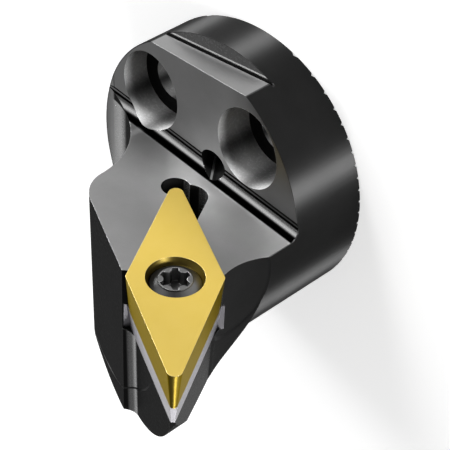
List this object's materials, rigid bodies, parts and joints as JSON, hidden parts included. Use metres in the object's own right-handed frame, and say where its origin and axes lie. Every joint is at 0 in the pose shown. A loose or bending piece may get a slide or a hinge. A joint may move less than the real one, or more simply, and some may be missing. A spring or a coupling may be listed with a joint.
{
  "type": "turning tool holder",
  "caption": "Bolt-on head for internal turning, right hand, with a rhombic 35 degree insert clamped by a screw on a carbide shim; serrated round coupling face and coolant through the body",
  "frame": {"origin": "centre of the serrated coupling face, at the mouth of the coolant inlet", "axes": "+Z is the tool axis, out of the coupling face towards the cut; the serrations run along X, the top flat faces -Y and the cutting nose points to -X and +Z"},
  "size_m": [0.0382, 0.0337, 0.034],
  "materials": {
    "black_steel": "satin",
    "carbide": "satin",
    "gold_coating": "satin",
    "screw_black": "satin"
  },
  "bodies": {
    "root": {"head_body": "black_steel", "shim": "carbide", "shim_screw": "screw_black", "insert": "gold_coating", "insert_screw": "screw_black"}
  },
  "joints": []
}
